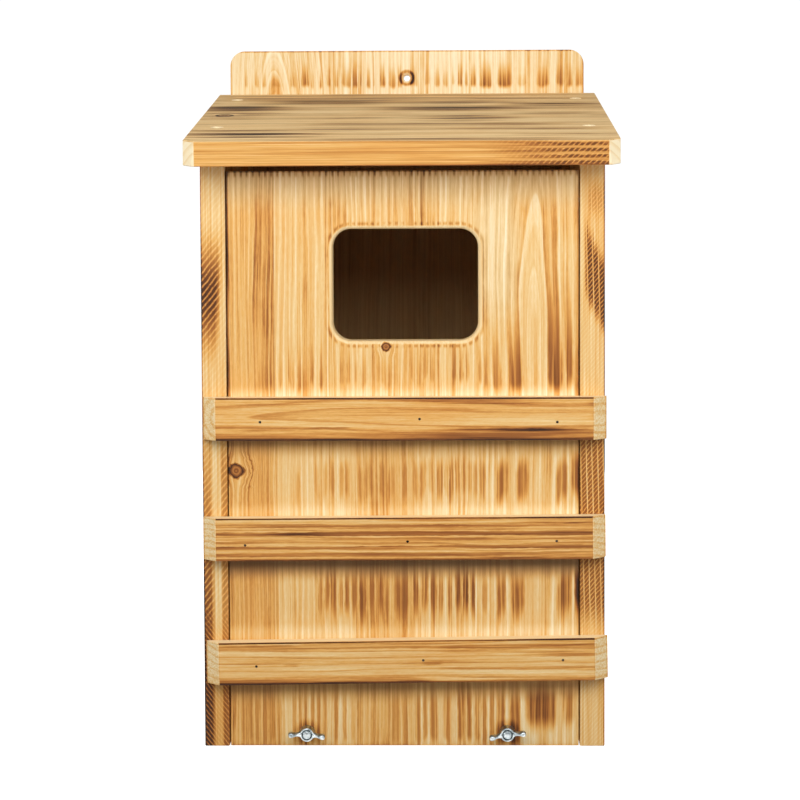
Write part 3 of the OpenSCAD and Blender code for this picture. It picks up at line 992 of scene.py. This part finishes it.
def back_board():
    corner = 12
    outline = ([(-half_w, 0), (half_w, 0)]
               + arc((half_w - corner, back_high.z - corner), corner, 0, 90, 16)
               + arc((corner - half_w, back_high.z - corner), corner, 90, 180, 16))
    board = prism("back_board_wood", outline, Y, back_y, rear_y)
    bore, sink = 2.75, 4.5
    profile = [(sink, 1), (sink, 0), (bore, bore - sink), (bore, -board_t - 1)]
    hole = drill(profile, from_front(hole_x, back_y, hole_z))
    carve(board, hole, *screw_holes("left_back_screws", "right_back_screws", "floor_back_screws"))
    place_piece(board, "back_board", back_material())


def side_wall(side_name, side):
    node = side_name + "_side_wall"
    low, high = box_mm(node)
    outline = [(low.y, 0), (back_y, 0), (back_y, roof_under(back_y)), (low.y, roof_under(low.y))]
    board = prism(node + "_wood", outline, X, low.x, high.x)
    screws_through = [side_name + part for part in ("_floor_screws", "_panel_screws", "_pivot_screw")]
    carve(board, *screw_holes(*screws_through))
    place_piece(board, node, wall_material(side_name, side))


INSERT_R, INSERT_BORE_R = 4.8, 3    # outside and inside of a threaded insert


def floor_board():
    board = block("floor_board_wood", floor_low, floor_high)
    pocket_r, pocket_depth, bore_depth = INSERT_R + FIT, 13, 19
    profile = [(pocket_r, 1), (pocket_r, -pocket_depth), (INSERT_BORE_R, -pocket_depth),
               (INSERT_BORE_R, -bore_depth)]
    for side in SIDES.values():
        carve(board, drill(profile, from_front(stud_x(side), floor_low.y, stud_z)))
    place_piece(board, "floor_board", plain_board_material())


def roof_board():
    front_top = roof_top(roof_low.y)
    rise = board_t * math.cos(roof_slope)
    run = board_t * math.sin(roof_slope)
    outline = [(roof_low.y, front_top), (roof_low.y + run, front_top - rise),
               (back_y, roof_under(back_y)), (back_y, roof_top(back_y))]
    wide = roof_high.x
    bm = slab(outline, X, -wide, wide)
    for side in SIDES.values():
        corner = Vector((side * (wide - roof_cut), roof_low.y, front_top))
        cut = bmesh.ops.bisect_plane(bm, geom=bm.verts[:] + bm.edges[:] + bm.faces[:], plane_co=corner,
                                     plane_no=Vector((side, -1, 0)).normalized(), clear_outer=True)
        rim = [e for e in cut["geom_cut"] if isinstance(e, bmesh.types.BMEdge)]
        bmesh.ops.contextual_create(bm, geom=rim)
    bmesh.ops.recalc_face_normals(bm, faces=bm.faces)
    soften(bm, edge_r)
    board = make_object("roof_board_wood", bm)
    carve(board, *screw_holes("roof_screws"))
    place_piece(board, "roof_board", roof_material())


def entrance_cutter():
    """The entrance, with its front edge rounded over by a different amount on each side."""
    left, right, top, bottom = 2.2, 4.3, 2.6, 3.6
    depth, steps, corner = 2.2, 8, 1.5
    stations = [(front_y + board_t + 1, 0)]
    for n in range(steps + 1):
        angle = math.radians(90 * n / steps)
        stations.append((front_y + depth * (1 - math.sin(angle)), 1 - math.cos(angle)))
    stations.append((front_y - 1, 1))
    bm = bmesh.new()
    rings = []
    for y, grow in stations:
        low = (entrance_low[0] - left * grow, entrance_low[1] - bottom * grow)
        high = (entrance_high[0] + right * grow, entrance_high[1] + top * grow)
        outline = round_rectangle(low, high, entrance_r + corner * grow)
        rings.append([bm.verts.new((x, y, z)) for x, z in outline])
    skin(bm, rings)
    return make_object("cutter", bm)


def upper_front_panel():
    board = block("upper_front_panel_wood", panel_low, panel_high, 0.4)
    carve(board, entrance_cutter())
    place_piece(board, "upper_front_panel", front_material())


def clean_out_door():
    board = block("clean_out_door_wood", door_low, door_high, 0.4)
    stud_hole_r = 3.3
    profile = [(stud_hole_r, 1), (stud_hole_r, -board_t - 1)]
    for side in SIDES.values():
        carve(board, drill(profile, from_front(stud_x(side), front_y, stud_z)))
        carve(board, screw_hole(from_side(side, front_mid_y, pivot_z)))
    place_piece(board, "clean_out_door", door_material())


# ---- rails and their nails

@dataclass
class Rail:
    """A climbing rail, and how it was nailed on."""
    height: float           # of its middle
    shift: float            # sideways
    tilt: float             # in degrees, its right end up
    seed: float
    nails: list             # where its nails sit, along it and above its middle
    strips: list
    burns: list

    def place(self):
        """Origin at the middle of the rail's rear face."""
        turn = Matrix.Rotation(math.radians(-self.tilt), 4, "Y")
        return Matrix.Translation((self.shift, front_y, self.height)) @ turn


RAILS = {
    "top": Rail(
        241.2, 1, 0, 40.0, [(-104, -2), (11, 0), (110, -2.4)],
        [Strip(-50, 1, 13, tilt=-0.045, ring=6.0, tone=0.42)],
        [band(-150, 160, [(-13, 4, 0.45)], 40),
         band(25, 125, [(-10.5, 5.5, 1.1)], 60),
         band(137, 150, [(6, 9, 1.2)], 14),
         band(25, 90, [(14, 4, 1)], 50),
         band(-70, -40, [(-6.4, 1, 0.9)], 14)]),
    "middle": Rail(
        154.4, 0.5, 0.28, 47.0, [(-115, -4), (2.5, -2), (110, -2.3)],
        [Strip(-50, -42, 16, tilt=0.02, ring=4.4, tone=0.43)],
        [band(-150, 160, [
            (9.4, 1.2, 0.5), (3.9, 1.9, 0.85), (0, 1.2, 0.7), (-6.2, 1.5, 0.7), (-11, 2, 0.7)], 40),
         band(-60, 60, [(3.9, 2, 0.95), (-0.5, 1.5, 0.7), (9.6, 1.3, 0.5)], 60),
         band(90, 150, [
             (12.5, 2.6, 0.9), (7, 1.2, 0.6), (2.6, 1.6, 0.8), (-1, 1.2, 0.6), (-6, 1.8, 0.6)], 50)]),
    "lower": Rail(
        64.8, 2, 0.77, 53.0, [(-109, -2), (12, 0.8), (113, -0.4)],
        [Strip(-50, 34, 12, tilt=-0.02, ring=5.2, tone=0.36)],
        [band(-150, 20, [(11.6, 2.4, 0.55), (-13.4, 3, 0.5)], 30),
         band(20, 160, [(10.5, 2.2, 0.6), (6.5, 1.8, 0.45), (-5.3, 1.2, 0.45)], 50),
         band(90, 148, [(13.5, 3, 0.6), (4.2, 2.6, 0.5)], 40),
         band(-86, -76, [(-1.4, 1.6, 1)], 5),
         band(14, 28, [(-1, 1.4, 0.9)], 6)]),
}


def nail_place(rail, spot):
    along, up = spot
    return rail.place() @ Matrix.Translation((along, -RAIL_T, up)) @ Matrix.Rotation(TURN / 4, 4, "X")


def rails():
    for name, rail in RAILS.items():
        node = name + "_rail"
        outline = [(-half_w, 0), (-half_w, RAIL_CUT - RAIL_T), (RAIL_CUT - half_w, -RAIL_T),
                   (half_w - RAIL_CUT, -RAIL_T), (half_w, RAIL_CUT - RAIL_T), (half_w, 0)]
        board = prism(node + "_wood", outline, Z, -RAIL_H / 2, RAIL_H / 2, 0.5)
        board.data.transform(rail.place())
        pit = [(1.15, 1), (1, 0), (1, -1.2), (0.7, -1.25), (0.7, -26.5)]
        carve(board, *[drill(pit, nail_place(rail, spot), 20) for spot in rail.nails])
        place_piece(board, node, rail_material(node + "_wood", rail))


def nails(steel):
    """Thin nails with small flat heads, driven just below the surface."""
    profile = [(0, -0.42), (0.55, -0.42), (0.85, -0.5), (0.97, -0.62), (0.97, -1), (0.9, -1.1), (0.62, -1.15),
               (0.62, -24.2), (0, -26)]
    for name, rail in RAILS.items():
        bm = bmesh.new()
        for spot in rail.nails:
            revolve(bm, profile, nail_place(rail, spot), 20)
        place_piece(make_object(name + "_rail_nails_steel", bm), name + "_rail_nails", steel)


# ---- screws

def blade(top, turn):
    """A cutter for one slot of a cross recess: narrower at its foot, and turned about Z."""
    half_width, depth = 0.36, 1.7
    bm = bmesh.new()
    rings = []
    for reach, z in ((0.9, top - depth), (1.9, top + 0.01), (1.9, top + 0.6)):
        corners = [(-reach, -half_width), (reach, -half_width), (reach, half_width), (-reach, half_width)]
        rings.append([bm.verts.new((x, y, z)) for x, y in corners])
    skin(bm, rings)
    cutter = make_object("cutter", bm)
    cutter.data.transform(Matrix.Rotation(math.radians(turn), 4, "Z"))
    return cutter


def screw_mesh(sink):
    """A countersunk wood screw with a cross recess, driven to a depth below the surface."""
    neck, thread_end, tip = -14, -SCREW_LEN + 4.5, -SCREW_LEN + 0.05
    cone = HEAD_R - SCREW_R
    shank_r = SCREW_R - 0.15
    head = [(0, -sink), (HEAD_R - 0.25, -sink), (HEAD_R, -sink - 0.2), (shank_r, -sink - cone - 0.2),
            (shank_r, neck)]
    segments = 24
    bm = bmesh.new()
    rings = [circle(bm, radius, height, segments=segments) for radius, height in head]
    root_r, pitch = 1.35, 1.8
    rings += reversed(threaded(bm, thread_end, neck - 0.3, root_r, SCREW_R, pitch, segments, 6))
    rings += [circle(bm, 0.7, -SCREW_LEN + 2.2, segments=segments), circle(bm, 0, tip)]
    skin(bm, rings)
    screw = make_object("screw", bm)
    carve(screw, blade(-sink, 45))
    carve(screw, blade(-sink, 135))
    mesh = screw.data
    bpy.data.objects.remove(screw)
    return mesh


def screws(steel):
    meshes = {sink: screw_mesh(sink) for sink in (SUNK, FLUSH)}
    for node, places in screw_places.items():
        turned = [place @ Matrix.Rotation(0.7 * n + 0.3 * len(node), 4, "Z")
                  for n, place in enumerate(places)]
        place_piece(copies(node + "_steel", meshes[head_sink(node)], turned), node, steel)


# ---- wing screws and their inserts

def threaded_insert(side_name, side, brass):
    """A brass insert: coarse thread outside, plain bore, and a driving slot across its face."""
    node = side_name + "_threaded_insert"
    low, high = box_mm(node)
    length = high.y - low.y
    place = from_front(stud_x(side), low.y, stud_z)
    root_r, pitch, segments = 4.1, 2.2, 40
    bm = bmesh.new()
    rings = threaded(bm, -length, -0.8, root_r, INSERT_R, pitch, segments, 7, place, 0.8)
    rim_and_bore = [(root_r, -0.5), (3.9, 0), (3.4, 0), (INSERT_BORE_R, -0.4), (INSERT_BORE_R, -length + 0.4),
                    (3.3, -length)]
    rings += [circle(bm, radius, height, place, segments) for radius, height in rim_and_bore]
    skin(bm, rings + [rings[0]], closed_ends=False)
    insert = make_object(node + "_brass", bm)
    slot = slab([(-6, -0.7), (6, -0.7), (6, 0.7), (-6, 0.7)], Z, -1.6, 0.6)
    slot.transform(place)
    carve(insert, make_object("cutter", slot))
    place_piece(insert, node, brass)


def stud(side_name, side, zinc):
    """The wing screw's shank: an M6 thread in front, and its core inside the insert."""
    node = side_name + "_stud"
    low, high = box_mm(node)
    place = from_front(stud_x(side), low.y, stud_z)
    shoulder = low.y - (front_y + board_t - 1)
    tail = low.y - high.y
    core_r, root_r, crest_r, pitch, segments = 2.37, 2.42, 2.93, 1, 40
    tip = [(0, 0), (2.1, 0), (2.3, -0.12)]
    core = [(core_r, shoulder - 0.5), (core_r, tail + 0.6), (1.8, tail), (0, tail)]
    bm = bmesh.new()
    rings = [circle(bm, radius, height, place, segments) for radius, height in tip]
    rings += reversed(threaded(bm, shoulder, -0.25, root_r, crest_r, pitch, segments, 8, place, 0.5))
    rings += [circle(bm, radius, height, place, segments) for radius, height in core]
    skin(bm, rings)
    place_piece(make_object(node + "_zinc", bm), node, zinc)


NUT_STAND_OFF = 0.2
NUT_TURN = {"left": 3.7, "right": -7.5}
WING_STATIONS = [           # out from the axis, up from the base, half height, half thickness
    (1.5, 4.2, 3, 3.2), (3.6, 4.4, 3.2, 2.9), (5, 4.9, 2.9, 2.3), (6.2, 5.8, 2.7, 1.8),
    (7.4, 6.9, 2.65, 1.6), (8.6, 8, 2.8, 1.65), (9.7, 8.8, 3.1, 1.9), (10.7, 9.2, 3.2, 2.2),
    (11.7, 9.45, 2.95, 2.3), (12.6, 9.6, 2.4, 2), (13.2, 9.65, 1.6, 1.35),
]
WING_TIP = (13.62, 0, 9.65)


def wing(bm, place):
    """One wing of the nut, swept out from the hub to its rounded lobe."""
    segments = 24
    angles = [TURN * i / segments for i in range(segments)]
    rings = []
    for out, up, tall, thick in WING_STATIONS:
        oval = [(out, thick * math.sin(a), up + tall * math.cos(a)) for a in angles]
        rings.append([bm.verts.new(place @ Vector(spot)) for spot in oval])
    rings.append([bm.verts.new(place @ Vector(WING_TIP))])
    skin(bm, rings)


def wing_nut(side_name, side, zinc):
    node = side_name + "_wing_nut"
    place = (Matrix.Translation((stud_x(side), front_y - NUT_STAND_OFF, stud_z))
             @ Matrix.Rotation(math.radians(NUT_TURN[side_name]), 4, "Y")
             @ Matrix.Rotation(TURN / 4, 4, "X"))
    bm = bmesh.new()
    hub = [(0, 0), (5.6, 0), (5.95, 0.35), (5.9, 1.2), (5.35, 3.6), (5.1, 6.6), (4.8, 7.3), (4.5, 7.45),
           (0, 7.45)]
    revolve(bm, hub)
    for turn in (0, TURN / 2):
        wing(bm, Matrix.Rotation(turn, 4, "Z"))
    nut = make_object(node + "_zinc", bm)
    merged = nut.modifiers.new("merged", "REMESH")
    merged.mode = "VOXEL"
    merged.voxel_size = 0.24
    eased = nut.modifiers.new("eased", "SMOOTH")
    eased.factor = 0.5
    eased.iterations = 6
    apply_modifiers(nut)
    bore = [(3.6, -1), (3.02, 0.5), (3.02, 6.3), (3.95, 7.3), (3.95, 14)]
    carve(nut, drill(bore, segments=64))
    nut.data.transform(place)
    place_piece(nut, node, zinc)


# ---- building

back_board()
floor_board()
roof_board()
upper_front_panel()
clean_out_door()
rails()
nails(metal_material("dark_steel", (96, 84, 74), (40, 32, 28), 0.5))
screws(metal_material("screw_steel", (226, 216, 188), (170, 160, 136), 0.32))
brass_finish = metal_material("insert_brass", (226, 188, 104), (176, 138, 66), 0.3)
zinc_finish = metal_material("bright_zinc", (204, 212, 214), (128, 140, 144), 0.3)
for side_name, side in SIDES.items():
    side_wall(side_name, side)
    threaded_insert(side_name, side, brass_finish)
    stud(side_name, side, zinc_finish)
    wing_nut(side_name, side, zinc_finish)


# ---- stage, lights and camera

def stage_floor():
    bm = bmesh.new()
    bmesh.ops.create_grid(bm, x_segments=8, y_segments=8, size=6000)
    ground = make_object("studio_floor", bm)
    ground.data.transform(Matrix.Scale(MM, 4))
    s = Shader("studio_floor")
    x, y, _ = s.point(Matrix())
    tone = s.noise(x * 0.004, y * 0.004)
    colour = s.mix(tone, srgb(246, 246, 245), srgb(250, 250, 250))
    s.surface.inputs["Emission Color"].default_value = (1, 1, 1, 1)
    s.surface.inputs["Emission Strength"].default_value = 0.8
    ground.data.materials.append(s.finish(colour, 0.7 + tone * 0.1, tone, 0.02, 0.1))
    ground.visible_diffuse = False


def soft_light(name, spot, aim, size, power):
    light = bpy.data.lights.new(name, "AREA")
    light.shape = "RECTANGLE"
    light.size, light.size_y = size
    light.energy = power
    obj = bpy.data.objects.new(name, light)
    obj.visible_camera = False
    bpy.context.scene.collection.objects.link(obj)
    obj.location = spot
    obj.rotation_euler = (Vector(aim) - Vector(spot)).to_track_quat("-Z", "Y").to_euler()


AMBIENT, BACKDROP = 0.26, 1.05    # brightness of the room's light, and of the white backdrop itself


def lights():
    world = bpy.data.worlds.new("studio")
    bpy.context.scene.world = world
    world.use_nodes = True
    nodes, links = world.node_tree.nodes, world.node_tree.links
    background = nodes["Background"]
    background.inputs["Color"].default_value = (1, 1, 1, 1)
    strength = nodes.new("ShaderNodeMapRange")
    strength.inputs["To Min"].default_value = AMBIENT
    strength.inputs["To Max"].default_value = BACKDROP
    links.new(nodes.new("ShaderNodeLightPath").outputs["Is Camera Ray"], strength.inputs["Value"])
    links.new(strength.outputs[0], background.inputs["Strength"])
    soft_light("key", (0, -0.8, 0.72), (0, -0.1, 0.22), (1.7, 0.5), 8.6)
    for name, side in SIDES.items():
        soft_light(name, (side * 1.2, -0.75, 0.4), (0, 0, 0.25), (0.6, 0.6), 3.2)
    soft_light("top", (0, 0.1, 1.6), (0, 0, 0.3), (1.2, 1.2), 5)
    soft_light("rear", (0, 1.5, 0.3), (0, 0.1, 0.26), (2.4, 0.5), 14)


def camera():
    data = bpy.data.cameras.new("camera")
    obj = bpy.data.objects.new("camera", data)
    bpy.context.scene.collection.objects.link(obj)
    data.sensor_width = 36
    data.lens = 99.8
    data.shift_y = -0.10
    spot = (0.0285, -1.712, 0.4042)
    pitch, yaw, roll = math.radians(90 - 3.3), math.radians(1.09), math.radians(-0.26)
    obj.matrix_world = (Matrix.Translation(spot) @ Matrix.Rotation(yaw, 4, "Z")
                        @ Matrix.Rotation(pitch, 4, "X") @ Matrix.Rotation(roll, 4, "Z"))
    bpy.context.scene.camera = obj


stage_floor()
lights()
camera()
bpy.context.scene.view_settings.view_transform = "Standard"
